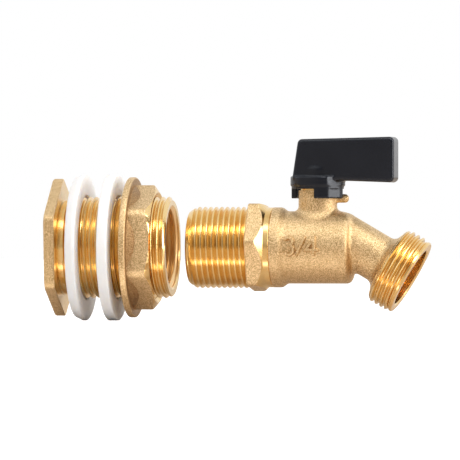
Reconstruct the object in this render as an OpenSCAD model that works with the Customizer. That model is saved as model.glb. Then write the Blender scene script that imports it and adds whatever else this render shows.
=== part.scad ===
// Brass garden tap for a water butt, with the tank connector that it screws into.
// The set is laid out along X as it goes together: connector, washers, nut, then the tap.
// X = 0 is the sealing face of the connector's head, and the X axis is the axis of every thread but the outlet's.

/* [Tank connector] */
// Thickness of the hexagonal head
head_h = 3.4; // [2.4:0.1:6]
// Width of the head across its flats
head_af = 39.4; // [38:0.1:44]
// Turned diameter that trims the head's six corners
head_corner_d = 44.8; // [42:0.1:46]
// Turn of the head's hexagon about the axis
head_turn = 4.8; // [0:0.1:30]
// Outer diameter of the threaded shank
shank_d = 33; // [32:0.1:36]
// Length of the shank from the head's sealing face to its rim
shank_l = 35.7; // [33:0.1:45]
// Distance from one crest of the shank thread to the next
shank_pitch = 2; // [1:0.1:3]
// Width of the smooth groove between the head and the thread
shank_groove_w = 1.9; // [1:0.1:3]

/* [Washers] */
// Width of both washers from the bore to the rim
washer_w = 7; // [5:0.1:10]
// Thickness of both washers
washer_h = 3.4; // [2:0.1:4]
// How much smaller the inner washer is on its bevelled side, measured on the radius
washer_bevel = 0.9; // [0.2:0.1:2]
// Gap between the washers and the shank thread
washer_gap = 0.3; // [0.2:0.05:1]

/* [Flange nut] */
// Diameter of the round flange
flange_d = 45.7; // [43:0.1:52]
// Thickness of the round flange
flange_h = 2.1; // [1.5:0.1:4]
// Width of the hexagon across its flats
nut_af = 36.2; // [35.6:0.1:38]
// Turned diameter that trims the hexagon's corners
nut_corner_d = 40.6; // [39:0.1:43]
// Height of the hexagon above the flange
nut_hex_h = 7.2; // [5:0.1:12]
// Turn of the hexagon about the axis
nut_turn = -5.1; // [-30:0.1:30]
// Gap between the nut and the shank thread
nut_gap = 0.2; // [0.1:0.05:0.4]

/* [Layout along the axis] */
// Room between the head and the inner washer
head_room = 4; // [0.2:0.1:5]
// Room between the washers, where the wall of the water butt goes
wall_room = 7.2; // [5:0.1:8]
// Room between the outer washer and the nut
nut_room = 3.6; // [0.5:0.1:4]
// Room between the connector's rim and the end of the tap's tail
tail_room = 6; // [1:0.5:30]

/* [Inlet tail] */
// Outer diameter of the pipe threads on the tail and the outlet
pipe_d = 26.44; // [26:0.02:27]
// Distance from one crest of the pipe thread to the next
pipe_pitch = 1.814; // [1.2:0.002:2.2]
// Gap between the pipe thread and the connector's bore
pipe_gap = 0.2; // [0.1:0.05:0.3]
// Length of the tail up to its hexagon
tail_thread_l = 19.8; // [15:0.1:24]
// Width of the tail's hexagon across its flats
tail_af = 27; // [26.6:0.1:29]
// Turned diameter that trims the corners of the tail's hexagon
tail_corner_d = 30.8; // [29:0.1:32]
// Turn of the tail's hexagon about the axis
tail_turn = 22.7; // [0:0.1:60]
// Width of the tail's hexagon along the axis
tail_hex_h = 5.8; // [4:0.1:10]
// Diameter of the turned collar behind the hexagon
collar_d = 26; // [24:0.1:26.4]
// Width of the turned collar
collar_h = 2; // [1:0.1:4]
// Bore of the tail's threaded end
tail_bore_d = 16; // [13:0.1:18]
// Outer diameter of the tail's spigot inside the valve body
spigot_d = 19.9; // [19:0.1:20.6]
// Length of the spigot
spigot_l = 6.2; // [5:0.1:9]

/* [Valve body] */
// How far the cast bead at the mouth stands out from the barrel
bead_rise = 1.2; // [0.6:0.1:2]
// Width of the cast bead
bead_w = 3.4; // [2:0.1:5]
// Wall of the cast barrel around the room for the ball
barrel_wall = 2.6; // [2.2:0.1:4]
// Length of the whole cast body along the tap's axis
barrel_l = 26.5; // [26:0.1:32]
// Rounding of the barrel's closed end
barrel_round = 2.2; // [1:0.1:3]
// Distance from the body's mouth to the axis of the ball and the stem
stem_x = 14.2; // [14:0.1:15]
// Diameter of the stem's boss
boss_d = 12.5; // [12:0.1:14]
// Radius of the fillet between the boss and the barrel
boss_fillet = 2.8; // [1:0.1:3]
// Height of the boss above the tap's axis
boss_top = 18.5; // [18:0.1:20]
// Width of the stop lug
lug_w = 3; // [2:0.1:4]
// Height of the stop lug
lug_h = 2.8; // [2:0.1:4]
// Distance from the stem's axis to the end of the stop lug
lug_reach = 10.2; // [9.5:0.1:11]
// Distance from the boss's top down to the middle of the stop lug
lug_drop = 2.6; // [2.2:0.1:3]

/* [Spout] */
// Angle of the spout below the tap's axis
spout_angle = 30.4; // [20:0.1:45]
// Distance from the end of the barrel to the point where the spout's axis leaves the tap's axis
spout_start = 1.6; // [0.5:0.1:4]
// Diameter of the cast neck
neck_d = 15.3; // [14:0.1:17]
// Distance along the spout's axis to the end of its thread
spout_l = 19.4; // [19:0.1:26]
// Length of the outlet thread
spout_thread_l = 8.4; // [6:0.1:12]
// Bore of the outlet's wide mouth
mouth_d = 20; // [16:0.1:21]
// Depth of the wide mouth
mouth_depth = 7; // [4:0.1:8]

/* [Ball and seats] */
// Diameter of the ball
ball_d = 17; // [16.6:0.1:17.4]
// Bore of the ball, the seats and the waterway
ball_bore_d = 11; // [8:0.1:11.4]
// Gap between the ball and the seats
ball_gap = 0.03; // [0.02:0.01:0.08]
// Depth of the slot in the top of the ball
slot_depth = 2.2; // [1.6:0.1:2.4]
// Width of the slot in the top of the ball
slot_w = 3.3; // [2.5:0.1:4]
// Diameter of the room for the ball inside the body
chamber_d = 18.3; // [18:0.1:18.6]
// How far the seats reach along the ball from the end of its room
seat_h = 3.5; // [3:0.1:4]

/* [Stem] */
// Diameter of the stem
stem_d = 8; // [7.6:0.1:8.4]
// Gap between the stem and its bore
stem_gap = 0.05; // [0.03:0.01:0.08]
// Diameter of the flange that holds the stem in
stem_flange_d = 10.4; // [10:0.1:10.6]
// Thickness of the stem's flange
stem_flange_h = 1.4; // [1:0.1:1.8]
// Thickness of the thrust washer
thrust_h = 0.9; // [0.5:0.05:1]
// Thickness of the O-rings' section
o_ring_w = 1.28; // [1:0.01:1.3]
// Thickness of the packing ring
packing_h = 1; // [0.6:0.1:1.2]
// Height of the gland's edge above the boss
gland_edge_h = 0.9; // [0.5:0.1:1.1]
// Width of the stem's square end across its flats
square_w = 5; // [4.6:0.1:5.4]
// Height of the stem's square end
square_h = 4.4; // [3.5:0.1:5]

/* [Lever handle] */
// Height of the handle's hub above the boss
hub_lift = 1.3; // [1.2:0.1:2]
// Diameter of the round hub
hub_d = 17.8; // [17:0.1:19]
// Thickness of the hub
hub_h = 3.3; // [3:0.1:5]
// How far the two stop skirts hang below the hub
skirt_drop = 3.9; // [3.2:0.1:4.2]
// Thickness of the stop skirts
skirt_w = 1.9; // [1.5:0.1:2]
// Distance from the stem's axis to the tip of the lever
lever_reach = 25.7; // [20:0.1:40]
// Distance from the stem's axis to the back of the lever at the hub
lever_back = 7.8; // [7:0.1:8.4]
// How much the back of the lever leans forward to its top
lever_lean = 1.9; // [0:0.1:4]
// Height of the lever's top above the hub's underside, at its back
lever_back_h = 15.3; // [12:0.1:20]
// Height of the lever's top above the hub's underside, at its tip
lever_tip_h = 16.1; // [12:0.1:20]
// Height of the lever's lower edge above the hub's underside, at the hub
lever_low_h = 1.8; // [1.2:0.1:3]
// Height of the lever's lower edge above the hub's underside, at its tip
lever_low_tip_h = 1.2; // [0.5:0.1:3]
// Thickness of the lever
lever_w = 11.4; // [10:0.1:11.8]
// Rounding of the lever's long edges
lever_round = 1.4; // [0.5:0.1:2]
// Rounding of the lever's corners, seen from the side
lever_corner = 2.2; // [2:0.1:3]
// Diameter of the round tower around the stem's square end
tower_d = 12.2; // [12:0.1:13]
// Height of the tower above the hub's underside
tower_h = 6.9; // [6.6:0.1:9]

/* [Handle screw] */
// Diameter of the screw
screw_d = 4; // [3:0.1:4]
// Length of the screw under its head
screw_l = 8.4; // [7:0.1:8.6]
// Diameter of the screw's head
screw_head_d = 7.2; // [6:0.1:7.4]
// Height of the screw's head
screw_head_h = 2.4; // [1.5:0.1:3]

/* [Hidden] */
$fn = 96;

brass_cast = [0.74, 0.58, 0.36];
brass_turned = [0.86, 0.66, 0.28];
black_plastic = [0.05, 0.05, 0.06];
white_plastic = [0.92, 0.91, 0.88];
seal_rubber = [0.08, 0.08, 0.08];
seat_plastic = [0.95, 0.95, 0.93];
screw_steel = [0.7, 0.7, 0.72];

// A cut runs past the surface that it opens by this much
over = 1;
// Small bevel that breaks a turned edge
edge = 0.4;
// Play between two pieces that are assembled and don't move
seat_play = 0.03;
// Play at a face that slides or turns past another
slide_play = 0.1;

// Share of a thread's pitch that is ridge height, flat crest and flat root
thread_depth_share = 0.62;
crest_share = 0.12;
root_share = 0.14;

head_edge = 1;
pipe_r = pipe_d / 2;
pipe_depth = pipe_pitch * thread_depth_share;
bore_r = pipe_r + pipe_gap;
bore_bevel = 0.9;
shank_r = shank_d / 2;
shank_depth = shank_pitch * thread_depth_share;
rim_bevel = 0.8;

washer_bore_r = shank_r + washer_gap;
washer_r = washer_bore_r + washer_w;
inner_washer_x = head_room;
outer_washer_x = inner_washer_x + washer_h + wall_room;
nut_x = outer_washer_x + washer_h + nut_room;
nut_r = shank_r + nut_gap;
nut_bevel = 1.1;
tail_x = shank_l + tail_room;
tail_bevel = 1.6;

mouth_x = tail_x + tail_thread_l + tail_hex_h + collar_h;
chamber_x = mouth_x + spigot_l;
stem_axis_x = mouth_x + stem_x;
chamber_l = 2 * (stem_axis_x - chamber_x) - seat_play;
barrel_r = chamber_d / 2 + barrel_wall;
bead_r = barrel_r + bead_rise;
bead_fall = 1.7;
way_r = ball_bore_d / 2;
seal_recess_r = spigot_d / 2 + 1.05;
seal_recess_h = 1;
seal_w = 0.94;

spout_x = mouth_x + barrel_l + spout_start;
spout_back = 9;
shoulder_h = 2;
neck_flare_h = 1.8;
neck_flare_w = 0.6;
spout_rim_w = 1.1;

ball_r = ball_d / 2;
stem_r = stem_d / 2;
stem_bore_r = stem_r + stem_gap;
stem_pocket_r = stem_flange_d / 2 + slide_play;
flange_z = chamber_d / 2 + slide_play;
thrust_z = flange_z + stem_flange_h;
pocket_top = thrust_z + thrust_h + slide_play / 2;
groove_w = o_ring_w + 0.2;
groove_r = stem_r - o_ring_w - 0.02;
o_ring_r = (groove_r + stem_r) / 2;
lower_groove_z = pocket_top + 0.8;
upper_groove_z = lower_groove_z + groove_w + 1.1;
gland_r = 5.2;
gland_seat_z = boss_top - packing_h - 0.6;
gland_edge_r = 5.8;
hub_z = boss_top + hub_lift;
tang_play = 0.1;
tang_l = 7.4;

hub_r = hub_d / 2;
skirt_in_r = hub_r - skirt_w;
hub_rim_w = 1.2;
hub_rim_h = 0.8;
screw_web_h = 1.2;
square_play = 0.1;
web_z = hub_z + square_h + 2 * square_play;
well_z = web_z + screw_web_h;
well_d = screw_head_d + 1.2;
tower_round = 1.6;
tapped_below = 3;
tapped_depth = square_h + tapped_below;
lug_z = boss_top - lug_drop;
stop_play = 0.15;

// Places a piece that is drawn along Z on the tap's axis, at a distance x along it
module along_x(x = 0) {
    translate([x, 0, 0]) rotate([0, 90, 0]) children();
}

// Places a piece that is drawn along Z on the spout's slanted axis
module along_spout() {
    translate([spout_x, 0, 0]) rotate([0, 90 + spout_angle, 0]) children();
}

// Places a piece on the upright axis of the stem
module on_stem(z = 0) {
    translate([stem_axis_x, 0, z]) children();
}

module turned(outline) {
    rotate_extrude() polygon(outline);
}

// Ridges of a thread between two heights, as an outline for turning.
// Each crest stays under the bevel that starts at the end named by end_z and falls to end_r.
function ridges(low, high, crest_r, pitch, end_z, end_r) =
    let (
        count = floor((high - low) / pitch),
        start = low + (high - low - count * pitch) / 2,
        root_r = crest_r - pitch * thread_depth_share
    )
    [for (i = [0 : count - 1])
        let (
            middle = start + (i + 0.5) * pitch,
            top_r = max(root_r, min(crest_r, end_r + abs(end_z - middle)))
        )
        each [
            [root_r, middle - pitch * (1 - root_share) / 2],
            [top_r, middle - pitch * crest_share / 2],
            [top_r, middle + pitch * crest_share / 2],
            [root_r, middle + pitch * (1 - root_share) / 2]
        ]
    ];

// Points of an arc, from one angle to another
function arc(centre, radius, from, to, steps = 8) =
    [for (i = [0 : steps]) let (a = from + (to - from) * i / steps)
        centre + radius * [cos(a), sin(a)]];

// Hexagon bar with its corners trimmed round, and a bevel at its lower and upper end
module hex_bar(af, corner_d, h, low_bevel, high_bevel, turn) {
    corner_r = corner_d / 2;
    rotate([0, 0, turn]) intersection() {
        cylinder(h = h, d = af / cos(30), $fn = 6);
        turned([
            [0, 0], [corner_r - low_bevel / tan(30), 0], [corner_r, low_bevel],
            [corner_r, h - high_bevel], [corner_r - high_bevel / tan(30), h], [0, h]
        ]);
    }
}

// Ring with a broken edge on every side
module washer_ring(inner_r, outer_r, h, low_bevel, low_lip) {
    turned([
        [inner_r, 0], [outer_r - low_bevel, 0], [outer_r, h - low_lip],
        [outer_r, h - edge], [outer_r - edge, h], [inner_r, h]
    ]);
}

// O-ring round the Z axis
module o_ring(radius, width) {
    rotate_extrude() translate([radius, 0]) circle(d = width, $fn = 32);
}

// The connector: a hexagonal head inside the butt, and a threaded shank that goes out through its wall
module tank_connector() {
    root_r = shank_r - shank_depth;
    color(brass_turned) along_x() difference() {
        union() {
            translate([0, 0, -head_h])
                hex_bar(head_af, head_corner_d, head_h, head_edge, 0, head_turn);
            turned(concat(
                [[0, -head_h / 2], [root_r, -head_h / 2], [root_r, shank_groove_w]],
                ridges(shank_groove_w, shank_l - edge, shank_r, shank_pitch, shank_l, shank_r - rim_bevel),
                [[root_r, shank_l - edge], [root_r, shank_l], [0, shank_l]]
            ));
        }
        turned([
            [0, -head_h - over], [bore_r + bore_bevel + over, -head_h - over],
            [bore_r, bore_bevel - head_h], [bore_r, shank_l - bore_bevel],
            [bore_r + bore_bevel + over, shank_l + over], [0, shank_l + over]
        ]);
    }
}

// The washer that lies inside the butt, with a bevelled rim
module inner_washer() {
    color(white_plastic) along_x(inner_washer_x)
        washer_ring(washer_bore_r, washer_r, washer_h, washer_bevel, washer_h / 4);
}

// The flat washer outside the butt
module outer_washer() {
    color(white_plastic) along_x(outer_washer_x)
        washer_ring(washer_bore_r, washer_r, washer_h, edge, washer_h - edge);
}

// The nut that clamps the washers and the wall of the butt against the head
module flange_nut() {
    flange_r = flange_d / 2;
    nut_h = flange_h + nut_hex_h;
    color(brass_cast) along_x(nut_x) difference() {
        union() {
            turned([
                [0, 0], [flange_r - edge, 0], [flange_r, edge],
                [flange_r, flange_h - edge], [flange_r - edge, flange_h], [0, flange_h]
            ]);
            translate([0, 0, flange_h / 2])
                hex_bar(nut_af, nut_corner_d, nut_h - flange_h / 2, 0, nut_bevel, nut_turn);
        }
        turned([
            [0, -over], [nut_r + nut_bevel + over, -over], [nut_r, nut_bevel],
            [nut_r, nut_h - nut_bevel], [nut_r + nut_bevel + over, nut_h + over], [0, nut_h + over]
        ]);
    }
}

// The tail: pipe thread, hexagon, turned collar, and the spigot that screws into the body and holds the ball in
module inlet_tail() {
    root_r = pipe_r - pipe_depth;
    hex_z = tail_thread_l;
    collar_z = hex_z + tail_hex_h;
    spigot_z = collar_z + collar_h;
    collar_r = collar_d / 2;
    end_z = spigot_z + spigot_l;
    color(brass_turned) along_x(tail_x) difference() {
        union() {
            turned(concat(
                [[0, 0], [root_r - tail_bevel / 2, 0], [root_r, tail_bevel / 2]],
                ridges(tail_bevel / 2, hex_z - pipe_pitch, pipe_r, pipe_pitch, 0, pipe_r - tail_bevel),
                [
                    [root_r, hex_z - pipe_pitch / 2], [pipe_r, hex_z + edge], [pipe_r, collar_z],
                    [collar_r, collar_z], [collar_r, spigot_z - edge], [collar_r - edge, spigot_z],
                    [spigot_d / 2, spigot_z], [spigot_d / 2, end_z], [0, end_z]
                ]
            ));
            translate([0, 0, hex_z])
                hex_bar(tail_af, tail_corner_d, tail_hex_h, edge, 2 * edge, tail_turn);
        }
        turned([
            [0, -over], [tail_bore_d / 2 + edge + over, -over], [tail_bore_d / 2, edge],
            [tail_bore_d / 2, collar_z], [way_r, spigot_z], [way_r, end_z + over], [0, end_z + over]
        ]);
    }
}

// The ring that seals the tail's collar against the body
module tail_seal_ring() {
    color(seal_rubber) along_x(mouth_x + seal_recess_h / 2)
        o_ring((spigot_d / 2 + seal_recess_r) / 2, seal_w);
}

// Outside of the cast body, before its bores are cut
module body_casting() {
    spout_root_r = pipe_r - pipe_depth;
    rim_r = pipe_r - edge;
    thread_z = spout_l - spout_thread_l;
    neck_r = neck_d / 2;
    boss_r = boss_d / 2;
    flare_low_z = barrel_r * 0.45;
    flare_top = [boss_r + boss_fillet * (1 - cos(40)), barrel_r + boss_fillet * (1 - sin(40))];
    along_x(mouth_x) turned(concat(
        [
            [0, 0], [bead_r - edge, 0], [bead_r, edge], [bead_r, bead_w - edge],
            [barrel_r, bead_w + bead_fall]
        ],
        arc([barrel_r - barrel_round, barrel_l - barrel_round], barrel_round, 0, 90),
        [[0, barrel_l]]
    ));
    on_stem() turned(concat(
        [[0, flare_low_z], [flare_top[0] + (flare_top[1] - flare_low_z) * 0.45, flare_low_z]],
        arc([boss_r + boss_fillet, barrel_r + boss_fillet], boss_fillet, 220, 180, 4),
        [[boss_r, boss_top - edge], [boss_r - edge, boss_top], [0, boss_top]]
    ));
    on_stem(lug_z - lug_h / 2) {
        translate([0, -lug_w / 2, 0]) cube([lug_reach - lug_w / 2, lug_w, lug_h]);
        translate([lug_reach - lug_w / 2, 0, 0]) cylinder(h = lug_h, d = lug_w);
    }
    along_spout() turned(concat(
        [
            [0, -spout_back], [neck_r, -spout_back],
            [neck_r, thread_z - shoulder_h - neck_flare_h],
            [neck_r + neck_flare_w, thread_z - shoulder_h], [spout_root_r, thread_z - edge]
        ],
        ridges(thread_z, spout_l - spout_rim_w, pipe_r, pipe_pitch, spout_l, pipe_r),
        [
            [spout_root_r, spout_l - spout_rim_w], [rim_r, spout_l - spout_rim_w + edge],
            [rim_r, spout_l - edge], [rim_r - edge, spout_l], [0, spout_l]
        ]
    ));
}

// The cast body: barrel with the ball's room, boss for the stem, stop lug, and spout with a hose thread
module valve_body() {
    mouth_r = mouth_d / 2;
    spout_way_r = way_r + edge;
    mouth_cone_h = mouth_r - spout_way_r;
    color(brass_cast) difference() {
        body_casting();
        along_x(mouth_x) turned([
            [0, -over], [seal_recess_r, -over], [seal_recess_r, seal_recess_h],
            [spigot_d / 2 + seat_play, seal_recess_h], [spigot_d / 2 + seat_play, spigot_l],
            [chamber_d / 2, spigot_l], [chamber_d / 2, spigot_l + chamber_l],
            [way_r, spigot_l + chamber_l], [way_r, spout_x - mouth_x], [0, spout_x - mouth_x]
        ]);
        along_spout() turned([
            [0, -way_r], [spout_way_r, -way_r],
            [spout_way_r, spout_l - mouth_depth - mouth_cone_h / 2],
            [mouth_r, spout_l - mouth_depth], [mouth_r, spout_l - edge],
            [mouth_r + edge + over, spout_l + over], [0, spout_l + over]
        ]);
        on_stem() {
            cylinder(h = pocket_top, r = stem_pocket_r);
            cylinder(h = boss_top + over, r = stem_bore_r);
            translate([0, 0, gland_seat_z])
                cylinder(h = boss_top - gland_seat_z + over, r = gland_r);
        }
    }
}

// One of the two rings that the ball turns against, drawn on the side towards the inlet
module seat_ring() {
    difference() {
        along_x(chamber_x) turned([
            [way_r, 0], [chamber_d / 2 - seat_play, 0],
            [chamber_d / 2 - seat_play, seat_h], [way_r, seat_h]
        ]);
        on_stem() sphere(r = ball_r + ball_gap);
    }
}

module inlet_seat() {
    color(seat_plastic) seat_ring();
}

module outlet_seat() {
    color(seat_plastic) translate([2 * stem_axis_x, 0, 0]) mirror([1, 0, 0])
        translate([seat_play, 0, 0]) difference() {
            translate([-seat_play, 0, 0]) seat_ring();
            along_x(chamber_x - over) cylinder(h = over + seat_play, d = chamber_d);
        }
}

// The ball, with the waterway through it and the slot for the stem across its top
module ball() {
    color(screw_steel) on_stem() difference() {
        sphere(r = ball_r);
        along_x(-ball_d) cylinder(h = 2 * ball_d, r = way_r);
        translate([-slot_w / 2, -ball_d / 2, ball_r - slot_depth]) cube([slot_w, ball_d, ball_r]);
    }
}

// The stem, put in from inside the body, with a tang for the ball and a square end for the handle
module stem() {
    tang_w = slot_w - 2 * tang_play;
    tang_z = ball_r - slot_depth + tang_play;
    square_z = hub_z;
    color(brass_turned) on_stem() difference() {
        union() {
            translate([-tang_w / 2, -tang_l / 2, tang_z]) cube([tang_w, tang_l, flange_z - tang_z]);
            turned([
                [0, flange_z], [stem_flange_d / 2, flange_z], [stem_flange_d / 2, thrust_z],
                [stem_r, thrust_z], [stem_r, lower_groove_z], [groove_r, lower_groove_z],
                [groove_r, lower_groove_z + groove_w], [stem_r, lower_groove_z + groove_w],
                [stem_r, upper_groove_z], [groove_r, upper_groove_z],
                [groove_r, upper_groove_z + groove_w], [stem_r, upper_groove_z + groove_w],
                [stem_r, square_z], [0, square_z]
            ]);
            translate([-square_w / 2, -square_w / 2, square_z - edge])
                cube([square_w, square_w, square_h + edge]);
        }
        translate([0, 0, square_z + square_h - tapped_depth])
            cylinder(h = tapped_depth + over, d = screw_d + 2 * seat_play);
    }
}

// The slippery washer between the stem's flange and the body
module stem_thrust_washer() {
    color(seat_plastic) on_stem(thrust_z) turned([
        [stem_r + seat_play, 0], [stem_flange_d / 2, 0], [stem_flange_d / 2, thrust_h],
        [stem_r + seat_play, thrust_h]
    ]);
}

module lower_o_ring() {
    color(seal_rubber) on_stem(lower_groove_z + groove_w / 2) o_ring(o_ring_r, o_ring_w);
}

module upper_o_ring() {
    color(seal_rubber) on_stem(upper_groove_z + groove_w / 2) o_ring(o_ring_r, o_ring_w);
}

// The packing ring in the top of the boss
module stem_packing() {
    color(seat_plastic) on_stem(gland_seat_z) turned([
        [stem_bore_r, 0], [gland_r - seat_play, 0], [gland_r - seat_play, packing_h],
        [stem_bore_r, packing_h]
    ]);
}

// The gland that presses the packing down, with an edge that lies on the boss
module packing_gland() {
    packing_top = gland_seat_z + packing_h;
    color(brass_turned) on_stem() turned([
        [stem_bore_r, packing_top], [gland_r - seat_play, packing_top],
        [gland_r - seat_play, boss_top], [gland_edge_r, boss_top],
        [gland_edge_r, boss_top + gland_edge_h - edge / 2],
        [gland_edge_r - edge / 2, boss_top + gland_edge_h], [stem_bore_r, boss_top + gland_edge_h]
    ]);
}

// A quarter of the stop skirt, with its ends flat so that they land square on the lug
module stop_skirt() {
    intersection() {
        difference() {
            cylinder(h = skirt_drop + hub_h / 2, r = hub_r - edge / 2);
            translate([0, 0, -over]) cylinder(h = skirt_drop + over, r = skirt_in_r);
        }
        translate([0, -hub_r - over, 0])
            cube([hub_r + over, hub_r + over - lug_w / 2 - stop_play, skirt_drop + hub_h / 2]);
    }
}

// Side view of the lever's blade, drawn smaller all round by inset
module blade_outline(inset) {
    c = lever_corner;
    r = c - inset;
    polygon(concat(
        arc([lever_lean + c - lever_back, lever_back_h - c], r, 190, 92, 4),
        arc([lever_reach - c, lever_tip_h - c], r, 90, 0, 4),
        arc([lever_reach - c, lever_low_tip_h + c], r, 0, -90, 4),
        [[hub_r, lever_low_h + inset], [inset - lever_back, hub_h / 2 + inset]]
    ));
}

// The blade, with its long edges rounded in steps
module blade() {
    side = lever_w / 2 - lever_round;
    hull() for (a = [0 : 30 : 90])
        rotate([90, 0, 0]) linear_extrude(2 * (side + lever_round * sin(a)), center = true)
            blade_outline(lever_round * (1 - cos(a)));
}

// The lever: an upright blade on a round hub, with two skirts that stop on the body's lug
module lever_handle() {
    color(black_plastic) on_stem(hub_z) difference() {
        union() {
            blade();
            turned([
                [0, 0], [hub_r - edge, 0], [hub_r, edge], [hub_r, hub_h - edge],
                [hub_r - edge, hub_h], [0, hub_h]
            ]);
            turned(concat(
                [[0, hub_h / 2], [tower_d / 2, hub_h / 2]],
                arc([tower_d / 2 - tower_round, tower_h - tower_round], tower_round, 0, 90, 5),
                [[0, tower_h]]
            ));
            translate([0, 0, -hub_rim_h]) difference() {
                cylinder(h = hub_rim_h + hub_h / 3, r = hub_r - edge);
                translate([0, 0, -over])
                    cylinder(h = hub_rim_h + over, r = hub_r - hub_rim_w);
            }
            translate([0, 0, -skirt_drop]) {
                stop_skirt();
                mirror([1, -1, 0]) stop_skirt();
            }
        }
        translate([-square_w / 2 - square_play, -square_w / 2 - square_play, -over])
            cube([square_w + 2 * square_play, square_w + 2 * square_play, web_z - hub_z + over]);
        cylinder(h = lever_tip_h, d = screw_d + 4 * square_play);
        translate([0, 0, well_z - hub_z]) cylinder(h = lever_tip_h, d = well_d);
    }
}

// The screw that holds the lever on the stem's square end, at the bottom of the well in the lever
module handle_screw() {
    color(screw_steel) on_stem(well_z) difference() {
        turned([
            [0, -screw_l], [screw_d / 2 - edge, -screw_l], [screw_d / 2, edge - screw_l],
            [screw_d / 2, 0], [screw_head_d / 2, 0], [screw_head_d / 2, screw_head_h - 2 * edge],
            [screw_head_d / 2 - 2 * edge, screw_head_h], [0, screw_head_h]
        ]);
        for (turn = [0, 90]) rotate([0, 0, turn])
            translate([-screw_head_d / 3, -edge, screw_head_h / 2])
                cube([screw_head_d * 2 / 3, 2 * edge, screw_head_h]);
    }
}

tank_connector();
inner_washer();
outer_washer();
flange_nut();
inlet_tail();
tail_seal_ring();
valve_body();
inlet_seat();
outlet_seat();
ball();
stem();
stem_thrust_washer();
lower_o_ring();
upper_o_ring();
stem_packing();
packing_gland();
lever_handle();
handle_screw();
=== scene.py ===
# %% [markdown]
# # A brass tap for a water butt, with its tank connector
#
# A water butt is a rain barrel. Its tap comes as a set: a threaded connector that
# goes through the wall of the barrel, two plastic washers, a flanged nut, and the
# ball tap that screws into the connector. The parts lie here along one axis, in the
# order in which they are fitted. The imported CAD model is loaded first, because it
# fixes every size and place. The scene then gives each part its real surface.

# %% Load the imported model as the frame
import math

import bmesh
import bpy
import numpy as np
from mathutils import Matrix, Vector


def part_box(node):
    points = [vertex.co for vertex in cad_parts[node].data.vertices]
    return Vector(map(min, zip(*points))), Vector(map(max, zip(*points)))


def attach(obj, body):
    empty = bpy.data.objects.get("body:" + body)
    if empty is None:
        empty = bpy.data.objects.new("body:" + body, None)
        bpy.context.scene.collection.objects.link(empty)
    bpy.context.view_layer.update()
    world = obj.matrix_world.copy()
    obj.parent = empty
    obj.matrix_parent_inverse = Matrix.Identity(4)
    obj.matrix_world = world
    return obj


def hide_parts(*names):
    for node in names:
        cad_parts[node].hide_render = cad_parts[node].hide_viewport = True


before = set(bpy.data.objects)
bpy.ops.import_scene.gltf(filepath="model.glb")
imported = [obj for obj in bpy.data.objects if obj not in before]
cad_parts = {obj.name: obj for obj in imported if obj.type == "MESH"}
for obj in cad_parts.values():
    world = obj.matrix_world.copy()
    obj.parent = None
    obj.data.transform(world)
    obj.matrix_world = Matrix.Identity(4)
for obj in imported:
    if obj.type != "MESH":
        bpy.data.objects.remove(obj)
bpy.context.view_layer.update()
MM = 0.001


# %% [markdown]
# ## Where things are
#
# A piece sits where its CAD node sits, so the script measures the nodes and works
# in millimetres from there. The axis of the tap is the X axis, and x = 0 is the
# sealing face of the connector's head.

# %% Measure the nodes
def node_box(name):
    """Lowest and highest corner of a CAD node, in millimetres."""
    low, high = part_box(name)
    return [v / MM for v in low], [v / MM for v in high]


connector_box = node_box("tank_connector")
nut_box = node_box("flange_nut")
tail_box = node_box("inlet_tail")
body_box = node_box("valve_body")
lever_box = node_box("lever_handle")
stem_box = node_box("stem")
stem_x = (stem_box[0][0] + stem_box[1][0]) / 2
boss_top = node_box("packing_gland")[1][2] - 0.9
print(f"stem axis at x = {stem_x:.2f}, boss ends at z = {boss_top:.2f} mm")


# %% [markdown]
# ## The camera
#
# The photo was taken with a long lens, a little to the right of square on: the
# outlet comes towards the viewer by about ten degrees, and the tap is seen level.
# A long lens keeps the hexagons and rings from looking pinched. The distance and
# the lens are chosen together, so that one pixel is 0.325 mm at the tap's axis.

# %% Set the camera
PIXELS = 460
MM_PER_PIXEL = 0.325
VIEW_YAW = math.radians(9.5)
CAMERA_DISTANCE = 3000
SENSOR_MM = 36
view_centre = Vector((54.6, 0, 5.65))

camera_data = bpy.data.cameras.new("camera")
camera_data.sensor_width = SENSOR_MM
camera_data.lens = SENSOR_MM * CAMERA_DISTANCE / (PIXELS * MM_PER_PIXEL)
camera = bpy.data.objects.new("camera", camera_data)
bpy.context.scene.collection.objects.link(camera)
towards_camera = Vector((math.sin(VIEW_YAW), -math.cos(VIEW_YAW), 0))
camera.location = (view_centre + CAMERA_DISTANCE * towards_camera) * MM
camera.rotation_mode = "QUATERNION"
camera.rotation_quaternion = (-towards_camera).to_track_quat("-Z", "Y")
bpy.context.scene.camera = camera
bpy.context.scene.view_settings.view_transform = "Standard"
print(f"camera: lens {camera_data.lens:.0f} mm at {CAMERA_DISTANCE} mm")


# %% [markdown]
# ## A small language for node trees
#
# Materials and threads are both made of nodes. A wire stands for one output of a
# node, and Python's own sums on wires add the Math nodes, so that a formula reads
# as a formula. Every other kind of node comes from the one method, node().

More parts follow.
